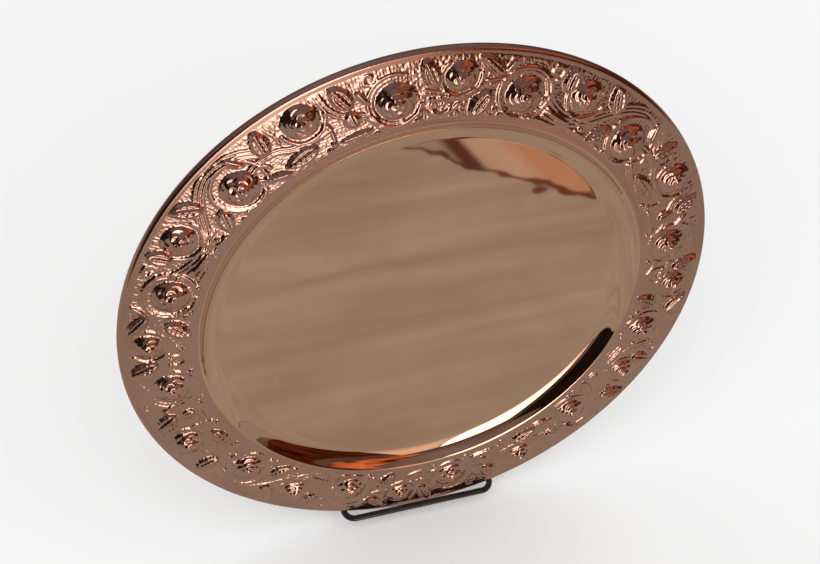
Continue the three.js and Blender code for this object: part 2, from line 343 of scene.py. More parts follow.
VINE_POINTS = (  # of the vine in the same row: degrees, share
    ((-8, 0.90), (-4, 0.945), (1, 0.964), (5, 0.945), (9, 0.895), (13, 0.838), (18, 0.806), (23, 0.818)),
    ((11, 0.835), (15, 0.825), (20, 0.835), (23.6, 0.87), (25.6, 0.92)),
    ((12, 0.779), (16, 0.792), (20, 0.782), (24, 0.788), (27, 0.779)),
    ((33.8, 0.90), (36.5, 0.888), (39.6, 0.862), (43, 0.840), (46.5, 0.857), (50, 0.87)),
    ((43, 0.822), (44.6, 0.80), (47.5, 0.79), (50.5, 0.81), (53, 0.795), (56, 0.780), (59.5, 0.795)),
    ((59.5, 0.795), (61.5, 0.84), (66, 0.872), (68, 0.91), (68.8, 0.965)),
    ((69.4, 0.79), (69.2, 0.85), (70.0, 0.90), (69.9, 0.96)),
    ((69, 0.855), (73, 0.843), (77, 0.852), (80.5, 0.878), (85, 0.88), (88, 0.865)),
    ((78.6, 0.89), (78.4, 0.92), (79.2, 0.955)),
)
BEADS = (  # degrees, share
    (45.3, 0.845),
    (46.9, 0.842),
    (48.5, 0.845),
    (12.6, 0.806),
    (34.6, 0.80),
    (24.6, 0.855),
    (69.8, 0.80),
    (71.0, 0.785),
    (51.6, 0.785),
    (60.6, 0.775),
    (3.2, 0.785),
    (5.2, 0.775),
    (26.0, 0.785),
    (33.2, 0.785),
)


def vine(ground, points, count, spread, width, height):
    """Stems side by side along one curve."""
    for k in range(count):
        shift = spread * (k - (count - 1) / 2)
        beside = []
        for before, here, after in zip((points[0], *points), points, (*points[1:], points[-1])):
            along = math.radians(after[0] - before[0]) * here[1]
            out = after[1] - before[1]
            size = math.hypot(along, out)
            degrees = here[0] - math.degrees(shift * out / size) / here[1]
            beside.append((degrees, here[1] + shift * along / size))
        ridge(ground, beside, width, height)


def emboss(ground):
    for flower in ROSES:
        rose(ground, *flower)
    for shape in LEAVES:
        leaf(ground, *shape)
    for curl in SCROLLS:
        scroll(ground, *curl)
    for points, stems in zip(VINE_POINTS, VINES):
        vine(ground, points, *stems)
    for degrees, share in BEADS:
        bead(ground, degrees, share, BEAD_SIZE, BEAD_HEIGHT)


def stipple(ground, seed):
    """Punched dots all over the open ground, and short strokes beside the border."""
    rng = np.random.default_rng(seed)
    dots = np.zeros_like(ground.height)
    turn = 2 * math.pi / REPEATS
    middle = (BAND_INNER + BAND_OUTER) / 2
    columns = int(turn * middle / DOT_PITCH)
    rows = int((BAND_OUTER - BAND_INNER) / DOT_PITCH)
    shift = rng.uniform(-0.25, 0.25, (rows + 2, columns, 2))
    size = rng.uniform(0.30, 0.50, (rows + 2, columns))
    row_at = (ground.radius - BAND_INNER) / DOT_PITCH
    column_at = ground.angle / turn * columns
    stretch = 1 + 1.3 * smooth_step(0.90 * TRAY_RADIUS, 0.95 * TRAY_RADIUS, ground.radius)
    for row_step in (-1, 0, 1):
        for column_step in (-1, 0, 1):
            row = np.clip(np.floor(row_at).astype(int) + row_step, 0, rows + 1)
            column = (np.floor(column_at).astype(int) + column_step) % columns
            across = column_at - column - 0.5 - shift[row, column, 0]
            across = (across + columns / 2) % columns - columns / 2
            out = (row_at - row - 0.5 - shift[row, column, 1]) / stretch
            reach = np.hypot(across, out) / size[row, column]
            dots = np.maximum(dots, size[row, column] * dome(np.clip(reach, 0, 1), 1.0))
    open_ground = 1 - smooth_step(0.05, 0.5, ground.height)
    ground.height += DOT_HEIGHT * dots * open_ground


def embossed_band(columns, radii):
    ground = Ground(columns // REPEATS, radii)
    emboss(ground)
    ground.height = softened(ground.height, 1)
    stipple(ground, DOT_SEED)
    fade = smooth_step(BAND_INNER, BAND_INNER + BAND_FADE, ground.radius)
    fade *= 1 - smooth_step(BAND_OUTER - BAND_FADE, BAND_OUTER, ground.radius)
    return np.tile(ground.height * fade, (1, REPEATS))


def softened(height, passes):
    """The same relief, a little rounder."""
    for _ in range(passes):
        height = (np.roll(height, 1, 1) + 2 * height + np.roll(height, -1, 1)) / 4
        padded = np.pad(height, ((1, 1), (0, 0)), mode="edge")
        height = (padded[:-2] + 2 * height + padded[2:]) / 4
    return height


# ---------------------------------------------------------------- tray mesh


def arc(centre, radius, start, end, steps):
    angles = np.radians(np.linspace(start, end, steps + 1))
    return [(centre[0] + radius * math.cos(a), centre[1] + radius * math.sin(a)) for a in angles]


def rim_height(radius):
    """Top of the plain rim between the shoulder and the border."""
    outer = TRAY_RADIUS - BORDER_WIDTH
    share = np.clip((outer - radius) / (outer - LEVEL_END), 0, 1)
    return ROLL_SKIN + (SHOULDER_HEIGHT - ROLL_SKIN) * share


def embossed_rings():
    """The embossed part of the rim: its rings on the front, and on the back, outwards."""
    rows = np.arange(BAND_INNER, BAND_OUTER + ROW_STEP / 2, ROW_STEP)
    front = embossed_band(FINE_COLUMNS, rows)
    back = softened(front, 2)[::2, ::2]
    over = [ring(FINE_COLUMNS, r, rim_height(r) + lift) for r, lift in zip(rows, front)]
    under = [ring(BACK_COLUMNS, r, rim_height(r) + lift - SHEET) for r, lift in zip(rows[::2], back)]
    return over, under


def tray_rings():
    """Rings from the middle of the floor out over the top, round the roll, and back underneath."""
    half = SHEET / 2
    foot, top_of_wall = math.radians(WALL_FOOT_ANGLE), math.radians(WALL_TOP_ANGLE)
    shoulder = (SHOULDER_RADIUS, SHOULDER_HEIGHT - half - SHOULDER_ROUND)
    rise = shoulder[1] + SHOULDER_ROUND * math.cos(top_of_wall) - (FLOOR_HEIGHT - half)
    wall_size = rise / (math.cos(foot) - math.cos(top_of_wall))
    wall = (
        SHOULDER_RADIUS - (wall_size + SHOULDER_ROUND) * math.sin(top_of_wall),
        FLOOR_HEIGHT - half + wall_size * math.cos(foot),
    )
    floor_radius = wall[0] + wall_size * math.sin(foot)
    past_ease = 2  # degrees
    wall_arc = (WALL_FOOT_ANGLE + past_ease - 90, WALL_TOP_ANGLE - 90)
    ease = [(floor_radius - in_by, FLOOR_HEIGHT + up_by) for in_by, up_by in FLOOR_EASE]
    roll = (TRAY_RADIUS - ROLL_RADIUS, 0.0)
    floor = np.linspace(6, floor_radius - 3, 16)

    top = [(r, FLOOR_HEIGHT) for r in floor]
    top += ease
    top += arc(wall, wall_size - half, *wall_arc, 18)
    top += arc(shoulder, SHOULDER_ROUND + half, WALL_TOP_ANGLE + 90, 90, 8)[1:]
    top.append((INNER_JOIN, rim_height(INNER_JOIN)))

    inside_roll = ROLL_RADIUS - SHEET
    edge = [(OUTER_JOIN, ROLL_SKIN), (BORDER, ROLL_SKIN)]
    edge += arc(roll, ROLL_SKIN, 90, -180, 26)
    edge += arc((roll[0] - ROLL_RADIUS + half, 0.0), half, 180, 0, 4)[1:]
    edge += arc(roll, inside_roll, -170, 88, 22)
    edge += [(BORDER, inside_roll), (OUTER_JOIN, inside_roll)]

    under = [(INNER_JOIN, rim_height(INNER_JOIN) - SHEET)]
    under += arc(shoulder, SHOULDER_ROUND - half, 90, WALL_TOP_ANGLE + 90, 6)
    under += arc(wall, wall_size + half, *wall_arc[::-1], 18)[1:]
    under += [(r, h - SHEET) for r, h in ease[::-1]]
    under += [(r, FLOOR_HEIGHT - SHEET) for r in floor[::-1]]

    band_over, band_under = embossed_rings()
    rings = [ring(PLAIN_COLUMNS, r, z) for r, z in top]
    rings += band_over
    rings += [ring(PLAIN_COLUMNS, r, z) for r, z in edge]
    rings += band_under[::-1]
    rings += [ring(PLAIN_COLUMNS, r, z) for r, z in under]
    return rings


def ring(columns, radius, height):
    """Points round the tray's axis, in metres; the height may differ from point to point."""
    angle = FIRST_ROSE + np.arange(columns) * 2 * math.pi / columns
    across = radius * MM * np.cos(angle)[:, None] * np.array(TRAY_RIGHT)
    up = radius * MM * np.sin(angle)[:, None] * np.array(TRAY_UP)
    out = (np.zeros(columns) + height)[:, None] * MM * np.array(TRAY_FACE)
    return np.array(TRAY_CENTRE) + across + up + out


def bridge(first, first_count, second, second_count):
    """Faces between two rings of vertices; one may have a whole number of times the other's count."""
    if first_count == second_count:
        a = first + np.arange(first_count)
        c = second + np.arange(second_count)
        return [list(f) for f in zip(a, np.roll(a, -1), np.roll(c, -1), c)]
    if first_count < second_count:
        return [f[::-1] for f in bridge(second, second_count, first, first_count)]
    ratio = first_count // second_count
    faces = []
    for i in range(second_count):
        fine = [first + (i * ratio + k) % first_count for k in range(ratio + 1)]
        here, there = second + i, second + (i + 1) % second_count
        middle = ratio // 2
        faces += [[fine[k], fine[k + 1], here] for k in range(middle)]
        faces.append([fine[middle], there, here])
        faces += [[fine[k], fine[k + 1], there] for k in range(middle, ratio)]
    return faces


def mesh_of_rings(name, rings, close_ends=True):
    """A closed mesh through the rings; the ends are closed by a point in the middle of each."""
    starts = np.cumsum([0] + [len(r) for r in rings])
    vertices = [np.concatenate(rings)]
    faces = []
    for i in range(len(rings) - 1):
        faces += bridge(starts[i], len(rings[i]), starts[i + 1], len(rings[i + 1]))
    if close_ends:
        vertices.append(np.array([rings[0].mean(0), rings[-1].mean(0)]))
        first, last = starts[-1], starts[-1] + 1
        faces += [[j, first, (j + 1) % len(rings[0])] for j in range(len(rings[0]))]
        count = len(rings[-1])
        faces += [[starts[-2] + j, starts[-2] + (j + 1) % count, last] for j in range(count)]
    else:
        faces += bridge(starts[-2], len(rings[-1]), starts[0], len(rings[0]))
    return new_mesh(name, np.concatenate(vertices), faces)


def new_mesh(name, vertices, faces):
    mesh = bpy.data.meshes.new(name)
    mesh.from_pydata([tuple(v) for v in vertices], [], [[int(i) for i in f] for f in faces])
    mesh.validate()
    if signed_volume(mesh) < 0:
        mesh.flip_normals()
    mesh.shade_smooth()
    piece = bpy.data.objects.new(name, mesh)
    bpy.context.scene.collection.objects.link(piece)
    return piece


def signed_volume(mesh):
    mesh.calc_loop_triangles()
    corners = np.zeros(len(mesh.loop_triangles) * 3, np.int32)
    mesh.loop_triangles.foreach_get("vertices", corners)
    points = np.zeros(len(mesh.vertices) * 3)
    mesh.vertices.foreach_get("co", points)
    a, b, c = points.reshape(-1, 3)[corners.reshape(-1, 3)].transpose(1, 0, 2)
    return float(np.einsum("ij,ij->", a, np.cross(b, c))) / 6


def make_tray():
    tray = mesh_of_rings("copper_tray", tray_rings())
    tray.data.materials.append(copper_material("rim_copper", (0.60, 0.345, 0.295), 0.13, 0.4))
    tray.data.materials.append(copper_material("well_copper", (0.77, 0.48, 0.36), 0.03, 0.0))
    axis = np.array(TRAY_FACE)
    centre = np.array(TRAY_CENTRE)
    for face in tray.data.polygons:
        arm = np.array(face.center) - centre
        height = arm @ axis
        if np.linalg.norm(arm - height * axis) < WELL_EDGE * MM:
            face.material_index = 1
    place(tray, "tray", "copper", "tray_sheet")

    wire = TRAY_RADIUS - ROLL_RADIUS
    size = ROLL_RADIUS - SHEET - GAP / MM
    rings = [ring(PLAIN_COLUMNS, r, z) for r, z in arc((wire, 0), size, 0, 330, 11)]
    edge = mesh_of_rings("edge_wire", rings, close_ends=False)
    edge.data.materials.append(steel_material())
    place(edge, "tray", "edge_wire", "rim_edge_wire")


def place(piece, body, slot, *nodes):
    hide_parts(*nodes)
    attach(piece, body)


# ---------------------------------------------------------------- easel

wire_low, wire_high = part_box("easel_lip_wire")
WIRE = (wire_high.z - wire_low.z) / 2
WIRE_SIDES, TURNED_SIDES = 24, 48
ACROSS = Vector((1, 0, 0))


def rounded(corners, bend):
    """The corners of a bent wire, each replaced by an arc of the bend radius."""
    path = [corners[0]]
    for before, corner, after in zip(corners, corners[1:], corners[2:]):
        back, on = (before - corner).normalized(), (after - corner).normalized()
        half = back.angle(on) / 2
        centre = corner + (back + on).normalized() * bend / math.sin(half)
        start = corner + back * bend / math.tan(half) - centre
        turn = math.pi - 2 * half
        axis = on.cross(back)
        steps = max(4, round(turn / math.radians(6)))
        for i in range(steps + 1):
            path.append(centre + Quaternion(axis, turn * i / steps) @ start)
    path.append(corners[-1])
    return [p for p, q in zip(path, path[1:]) if (p - q).length > 0.02 * MM] + [path[-1]]


def circle(centre, radius, side, other, sides):
    """Points round a centre, in the plane of two directions square to each other."""
    angles = np.arange(sides) * 2 * math.pi / sides
    return np.array([centre + radius * (math.cos(a) * side + math.sin(a) * other) for a in angles])


def bent_wire(name, body, nodes, corners, bend=0.0):
    """A round wire with softly broken ends."""
    path = rounded(corners, bend)
    tangents = []
    for i in range(len(path)):
        ahead = path[min(i + 1, len(path) - 1)] - path[max(i - 1, 0)]
        tangents.append(ahead.normalized())
    normal = tangents[0].orthogonal().normalized()
    rings = []
    stations = [(path[0], tangents[0], WIRE - WIRE_BREAK)]
    stations.append((path[0] + WIRE_BREAK * tangents[0], tangents[0], WIRE))
    stations += [(p, t, WIRE) for p, t in zip(path[1:-1], tangents[1:-1])]
    stations.append((path[-1] - WIRE_BREAK * tangents[-1], tangents[-1], WIRE))
    stations.append((path[-1], tangents[-1], WIRE - WIRE_BREAK))
    last = tangents[0]
    for point, tangent, radius in stations:
        normal = last.rotation_difference(tangent) @ normal
        last = tangent
        rings.append(circle(point, radius, normal, tangent.cross(normal), WIRE_SIDES))
    piece = mesh_of_rings(name, rings)
    piece.data.materials.append(bpy.data.materials["gloss_black_paint"])
    place(piece, body, "easel_paint", *nodes)


def turned(name, outline, base, axis, closed=False):
    """A turned piece: the outline is radius and distance along the axis, in metres.

    A closed outline runs back to its start, as on a sleeve."""
    side = axis.orthogonal().normalized()
    other = axis.cross(side)
    rings = [
        circle(base + along * axis, radius, side, other, TURNED_SIDES) for radius, along in outline
    ]
    return mesh_of_rings(name, rings, close_ends=not closed)


def at_x(point, x):
    """The point moved across to x."""
    return Vector((x, point.y, point.z))


def make_easel():
    hinge = Vector(next(j for j in frame["joints"] if j["name"] == "rear_leg_fold")["pos_m"])

    low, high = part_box("easel_front_frame")
    lean = math.atan2(high.y - low.y - 2 * WIRE, high.z - low.z - WIRE)
    upright_x = high.x - WIRE
    top = Vector((0, high.y - WIRE, high.z - WIRE))
    end = Vector((0, low.y + WIRE * math.cos(lean), low.z + WIRE * math.sin(lean)))
    corners = [at_x(end, -upright_x), at_x(top, -upright_x), at_x(top, upright_x), at_x(end, upright_x)]
    arch = upright_x - 0.01 * MM  # a touch under half the width, so that the two bends don't meet
    bent_wire("front_frame", "easel", ["easel_front_frame"], corners, arch)

    low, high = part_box("easel_lip_wire")
    middle = (low.z + high.z) / 2
    arm_x = high.x - WIRE
    front, back = low.y + WIRE, high.y
    path = ((-arm_x, back), (-arm_x, front), (arm_x, front), (arm_x, back))
    corners = [Vector((x, y, middle)) for x, y in path]
    bent_wire("lip_wire", "easel", ["easel_lip_wire"], corners, LIP_BEND)

    low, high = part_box("easel_lower_cross_bar")
    middle = (low + high) / 2
    corners = [at_x(middle, low.x), at_x(middle, high.x)]
    bent_wire("lower_cross_bar", "easel", ["easel_lower_cross_bar"], corners)

    low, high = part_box("easel_rear_leg")
    sleeve_low, sleeve_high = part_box("hinge_sleeve_right")
    leg_x = high.x - WIRE
    beside = (sleeve_high.z - sleeve_low.z) / 2 + GAP + WIRE
    stop = Vector((0, low.y + WIRE, high.z - WIRE))
    bend = hinge + beside * Vector((0, math.cos(LEG_ANGLE), math.sin(LEG_ANGLE)))
    end = Vector((0, high.y - WIRE * math.cos(LEG_ANGLE), low.z + WIRE * math.sin(LEG_ANGLE)))
    corners = [at_x(p, -leg_x) for p in (end, bend, stop)] + [at_x(p, leg_x) for p in (stop, bend, end)]
    bent_wire("rear_leg", "rear_leg", ["easel_rear_leg"], corners, LEG_BEND)

    make_hinge(hinge)
    make_caps(lean, LEG_ANGLE)


def make_hinge(hinge):
    low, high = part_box("easel_hinge_bar")
    half = (high.x - low.x) / 2
    head = (high.z - low.z) / 2
    step = -half + BAR_HEAD
    outline = [
        (head - BAR_SOFT, -half),
        (head - 0.15 * BAR_SOFT, -half + 0.3 * BAR_SOFT),
        (head, -half + BAR_SOFT),
        (head, step - 0.1 * BAR_SOFT),
        (head - 0.2 * BAR_SOFT, step),
        (WIRE + 0.1 * BAR_SOFT, step),
        (WIRE, step + 0.2 * BAR_SOFT),
    ]
    bar = turned("hinge_bar", mirrored(outline), hinge, ACROSS)
    bar.data.materials.append(bpy.data.materials["gloss_black_paint"])
    place(bar, "easel", "easel_paint", "easel_hinge_bar")

    for side in ("left", "right"):
        low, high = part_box("hinge_sleeve_" + side)
        outer = (high.z - low.z) / 2
        inner = outer - SLEEVE_WALL
        half = (high.x - low.x) / 2
        outline = [
            (inner, -half + SLEEVE_SOFT),
            (inner + SLEEVE_SOFT, -half),
            (outer - SLEEVE_SOFT, -half),
            (outer, -half + SLEEVE_SOFT),
        ]
        middle = at_x(hinge, (low.x + high.x) / 2)
        sleeve = turned("sleeve_" + side, mirrored(outline), middle, ACROSS, closed=True)
        sleeve.data.materials.append(bpy.data.materials["gloss_black_paint"])
        place(sleeve, "rear_leg", "easel_paint", "hinge_sleeve_" + side)


def mirrored(outline):
    """A turned outline, and its mirror image about the middle."""
    return outline + [(radius, -along) for radius, along in outline[::-1]]


def make_caps(front_lean, rear_lean):
    bore = WIRE + GAP
    chamfer = 0.3 * CAP_SOFT
    mouth = 0.1 * MM
    outline = (
        (0.6 * CAP_RADIUS, -CAP_RADIUS),
        (CAP_RADIUS, -CAP_RADIUS),
        (CAP_RADIUS, CAP_LENGTH - CAP_SOFT),
        (CAP_RADIUS - chamfer, CAP_LENGTH - chamfer),
        (CAP_RADIUS - CAP_SOFT, CAP_LENGTH),
        (bore + mouth, CAP_LENGTH),
        (bore, CAP_LENGTH - mouth),
        (bore, CAP_FLOOR),
    )
    for end, body, lean in (("front", "easel", front_lean), ("rear", "rear_leg", -rear_lean)):
        axis = Vector((0, math.sin(lean), math.cos(lean)))
        half_foot = CAP_RADIUS / math.cos(lean)  # the floor cuts the leaning cap in an oval
        for side in ("left", "right"):
            node = f"{end}_foot_cap_{side}"
            low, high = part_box(node)
            foot_y = (low.y + half_foot) if lean > 0 else (high.y - half_foot)
            base = Vector(((low.x + high.x) / 2, foot_y, 0))
            cap = turned(f"{end}_cap_{side}", outline, base, axis)
            cut_at_floor(cap.data)
            cap.data.materials.append(bpy.data.materials["black_vinyl"])
            place(cap, body, "foot_vinyl", node)


def cut_at_floor(mesh):
    """Takes away what is below the floor, and closes the cut."""
    shape = bmesh.new()
    shape.from_mesh(mesh)
    geometry = shape.verts[:] + shape.edges[:] + shape.faces[:]
    cut = bmesh.ops.bisect_plane(
        shape, geom=geometry, plane_co=(0, 0, 0), plane_no=(0, 0, -1), clear_outer=True
    )
    rim = [e for e in cut["geom_cut"] if isinstance(e, bmesh.types.BMEdge)]
    bmesh.ops.edgeloop_fill(shape, edges=rim)
    bmesh.ops.recalc_face_normals(shape, faces=shape.faces)
    shape.to_mesh(mesh)
    shape.free()


# ---------------------------------------------------------------- materials


def new_material(name):
    material = bpy.data.materials.new(name)
    material.use_nodes = True
    nodes = material.node_tree.nodes
    return material, nodes, material.node_tree.links, nodes["Principled BSDF"]


def add_noise(nodes, links, coordinates, scale, detail=3.0, roughness=0.5, distortion=0.0):
    noise = nodes.new("ShaderNodeTexNoise")
    noise.inputs["Scale"].default_value = scale
    noise.inputs["Detail"].default_value = detail
    noise.inputs["Roughness"].default_value = roughness
    noise.inputs["Distortion"].default_value = distortion
    links.new(coordinates, noise.inputs["Vector"])
    return noise.outputs["Fac"]


def add_ramp(nodes, links, factor, stops):
    ramp = nodes.new("ShaderNodeValToRGB")
    ramp.color_ramp.elements[0].position, ramp.color_ramp.elements[0].color = stops[0]
    ramp.color_ramp.elements[1].position, ramp.color_ramp.elements[1].color = stops[-1]
    for position, colour in stops[1:-1]:
        ramp.color_ramp.elements.new(position).color = colour
    links.new(factor, ramp.inputs["Fac"])
    return ramp.outputs["Color"]


def add_range(nodes, links, factor, low, high):
    scaled = nodes.new("ShaderNodeMapRange")
    scaled.inputs["To Min"].default_value = low
    scaled.inputs["To Max"].default_value = high
    links.new(factor, scaled.inputs["Value"])
    return scaled.outputs["Result"]


def add_bump(nodes, links, shader, height, strength, distance):
    bump = nodes.new("ShaderNodeBump")
    bump.inputs["Strength"].default_value = strength
    bump.inputs["Distance"].default_value = distance
    links.new(height, bump.inputs["Height"])
    links.new(bump.outputs["Normal"], shader.inputs["Normal"])


def copper_material(name, colour, roughness, grain):
    """Polished copper, a little uneven in tone; the grain is the tooth that punching leaves."""
    material, nodes, links, shader = new_material(name)
    place_in = nodes.new("ShaderNodeTexCoord").outputs["Object"]
    shader.inputs["Metallic"].default_value = 1.0
    tone = add_noise(nodes, links, place_in, 18, 4, 0.55, 0.4)
    tones = ((0.25, (0.90, 0.87, 0.84)), (0.55, (1, 1, 1)), (0.80, (1.05, 1.09, 1.12)))
    stops = [(at, (*(c * t for c, t in zip(colour, tint)), 1)) for at, tint in tones]
    links.new(add_ramp(nodes, links, tone, stops), shader.inputs["Base Color"])
    smudge = add_noise(nodes, links, place_in, 55, 5, 0.6)
    rough = add_range(nodes, links, smudge, roughness * 0.7, roughness * 1.4)
    links.new(rough, shader.inputs["Roughness"])
    if grain:
        punched = add_noise(nodes, links, place_in, 900, 2, 0.5)
        add_bump(nodes, links, shader, punched, 0.35 * grain, 0.15 * MM)
    else:
        waves = add_noise(nodes, links, place_in, 9, 1, 0.3)
        add_bump(nodes, links, shader, waves, 0.12, 0.6 * MM)
    return material


def steel_material():
    material, nodes, links, shader = new_material("drawn_steel")
    place_in = nodes.new("ShaderNodeTexCoord").outputs["Object"]
    shader.inputs["Metallic"].default_value = 1.0
    tone = add_noise(nodes, links, place_in, 220, 3)
    stops = ((0.3, (0.36, 0.35, 0.34, 1)), (0.7, (0.55, 0.54, 0.53, 1)))
    links.new(add_ramp(nodes, links, tone, stops), shader.inputs["Base Color"])
    links.new(add_range(nodes, links, tone, 0.3, 0.5), shader.inputs["Roughness"])
    return material


def paint_material():
    _, nodes, links, shader = new_material("gloss_black_paint")
    place_in = nodes.new("ShaderNodeTexCoord").outputs["Object"]
    tone = add_noise(nodes, links, place_in, 140, 4)
    stops = ((0.3, (0.007, 0.006, 0.006, 1)), (0.75, (0.016, 0.013, 0.012, 1)))
    links.new(add_ramp(nodes, links, tone, stops), shader.inputs["Base Color"])
    links.new(add_range(nodes, links, tone, 0.2, 0.36), shader.inputs["Roughness"])
    peel = add_noise(nodes, links, place_in, 700, 2)
    add_bump(nodes, links, shader, peel, 0.12, 0.1 * MM)
    shader.inputs["Coat Weight"].default_value = 0.3


def vinyl_material():
    _, nodes, links, shader = new_material("black_vinyl")
    place_in = nodes.new("ShaderNodeTexCoord").outputs["Object"]
    tone = add_noise(nodes, links, place_in, 400, 4)
    stops = ((0.3, (0.012, 0.012, 0.012, 1)), (0.8, (0.035, 0.034, 0.033, 1)))
    links.new(add_ramp(nodes, links, tone, stops), shader.inputs["Base Color"])
    links.new(add_range(nodes, links, tone, 0.5, 0.75), shader.inputs["Roughness"])
    add_bump(nodes, links, shader, tone, 0.2, 0.1 * MM)


# ---------------------------------------------------------------- stage


def emitter(name):
    """A material that only glows; the glow is plain unless something is linked to its colour."""
    material = bpy.data.materials.new(name)
    material.use_nodes = True
    nodes, links = material.node_tree.nodes, material.node_tree.links
    nodes.clear()
    glow = nodes.new("ShaderNodeEmission")
    links.new(glow.outputs["Emission"], nodes.new("ShaderNodeOutputMaterial").inputs["Surface"])
    material.cycles.emission_sampling = "NONE"
    return material, nodes, links, glow


def only_in_reflections(piece):
    for kind in ("camera", "diffuse", "transmission", "volume_scatter", "shadow"):
        setattr(piece, "visible_" + kind, False)


def feather(nodes, links, on_card, glow):
    """Lets the glow fade to nothing towards the card's edges."""
    both = nodes.new("ShaderNodeSeparateXYZ")
    links.new(on_card, both.inputs["Vector"])
    strengths = []
    for axis in ("X", "Y"):
        inwards = nodes.new("ShaderNodeMath")
        inwards.operation = "PINGPONG"
        inwards.inputs[1].default_value = 0.5
        links.new(both.outputs[axis], inwards.inputs[0])
        fade = nodes.new("ShaderNodeMapRange")
        fade.interpolation_type = "SMOOTHSTEP"
        fade.inputs["From Max"].default_value = FEATHER
        links.new(inwards.outputs["Value"], fade.inputs["Value"])
        strengths.append(fade.outputs["Result"])
    product = nodes.new("ShaderNodeMath")
    product.operation = "MULTIPLY"
    links.new(strengths[0], product.inputs[0])
    links.new(strengths[1], product.inputs[1])
    mix = nodes.new("ShaderNodeMixShader")
    links.new(product.outputs["Value"], mix.inputs["Fac"])
    links.new(nodes.new("ShaderNodeBsdfTransparent").outputs["BSDF"], mix.inputs[1])
    links.new(glow.outputs["Emission"], mix.inputs[2])
    links.new(mix.outputs["Shader"], nodes["Material Output"].inputs["Surface"])


def card(name, azimuth, elevation, width, height, slant, distance, grain, stops):
    """A glowing card that only reflections show; the distance is in metres and the rest in degrees.

    Its azimuth is 0 in front of the tray and grows towards the tray's right."""
    turn, rise = math.radians(azimuth), math.radians(elevation)
    away = Vector((math.sin(turn) * math.cos(rise), -math.cos(turn) * math.cos(rise), math.sin(rise)))
    level = Vector((math.cos(turn), math.sin(turn), 0))
    right = Quaternion(away, math.radians(slant)) @ level
    up = away.cross(right)
    middle = TRAY_CENTRE + distance * away
    half_width = distance * math.tan(math.radians(width / 2))
    half_height = distance * math.tan(math.radians(height / 2))
    corners = [
        middle + across * half_width * right + over * half_height * up
        for across, over in ((-1, -1), (1, -1), (1, 1), (-1, 1))
    ]
    piece = new_mesh(name, corners, [(0, 1, 2, 3)])
    piece.data.uv_layers.new()
    material, nodes, links, glow = emitter(name)
    coordinates = nodes.new("ShaderNodeTexCoord")
    place_in = coordinates.outputs["Object"]
    uneven = add_noise(nodes, links, place_in, grain, 3)
    links.new(add_ramp(nodes, links, uneven, stops), glow.inputs["Color"])
    feather(nodes, links, coordinates.outputs["UV"], glow)
    piece.data.materials.append(material)
    only_in_reflections(piece)


def table_colour(nodes, links, place_in):
    """Brown, with faint wavy streaks."""
    stretched = nodes.new("ShaderNodeMapping")
    stretched.inputs["Rotation"].default_value = (0, 0, math.radians(-12))
    stretched.inputs["Scale"].default_value = (1.3, 9, 1)
    links.new(place_in, stretched.inputs["Vector"])
    streaks = add_noise(nodes, links, stretched.outputs["Vector"], 2.4, 3, 0.5, 0.8)
    stops = (
        (0.32, (0.365, 0.340, 0.275, 1)),
        (0.50, (0.410, 0.400, 0.330, 1)),
        (0.68, (0.455, 0.455, 0.385, 1)),
    )
    return add_ramp(nodes, links, streaks, stops)


def distance_out(nodes, links, place_in):
    """How far out on the table a point is, made ragged by noise; 0 to 1 across CLOTH_OUT."""
    outwards = nodes.new("ShaderNodeVectorMath")
    outwards.operation = "DOT_PRODUCT"
    outwards.inputs[1].default_value = (0.853, -0.521, 0)
    links.new(place_in, outwards.inputs[0])
    ragged = nodes.new("ShaderNodeMath")
    ragged.operation = "MULTIPLY_ADD"
    links.new(add_noise(nodes, links, place_in, 16, 2), ragged.inputs[0])
    ragged.inputs[1].default_value = 0.10
    links.new(outwards.outputs["Value"], ragged.inputs[2])
    return share_between(nodes, links, ragged.outputs["Value"], *CLOTH_OUT)


def cloth_colour(nodes, links, place_in):
    """The patch beyond the table's edge: dark at its left end, then pale, then orange."""
    sideways = nodes.new("ShaderNodeSeparateXYZ")
    links.new(place_in, sideways.inputs["Vector"])
    along = share_between(nodes, links, sideways.outputs["X"], *CLOTH_ACROSS)
    stops = (
        (0.32, (0.38, 0.36, 0.30, 1)),
        (0.36, (0.12, 0.05, 0.035, 1)),
        (0.40, (0.12, 0.05, 0.035, 1)),
        (0.43, (0.53, 0.47, 0.375, 1)),
        (0.53, (0.60, 0.51, 0.40, 1)),
        (0.60, (0.56, 0.37, 0.23, 1)),
        (0.74, (0.54, 0.35, 0.22, 1)),
        (0.80, (0.38, 0.36, 0.30, 1)),
    )
    return add_ramp(nodes, links, along, stops)


def share_between(nodes, links, value, low, high):
    """The value's place between low and high, from 0 to 1."""
    share = nodes.new("ShaderNodeMapRange")
    share.inputs["From Min"].default_value = low
    share.inputs["From Max"].default_value = high
    links.new(value, share.inputs["Value"])
    return share.outputs["Result"]


def mixed(nodes, links, first, second, blend):
    """The second colour over the first, in full unless something is linked to its factor."""
    mix = nodes.new("ShaderNodeMix")
    mix.data_type = "RGBA"
    mix.blend_type = blend
    mix.inputs["Factor"].default_value = 1.0
    links.new(first, mix.inputs["A"])
    links.new(second, mix.inputs["B"])
    return mix


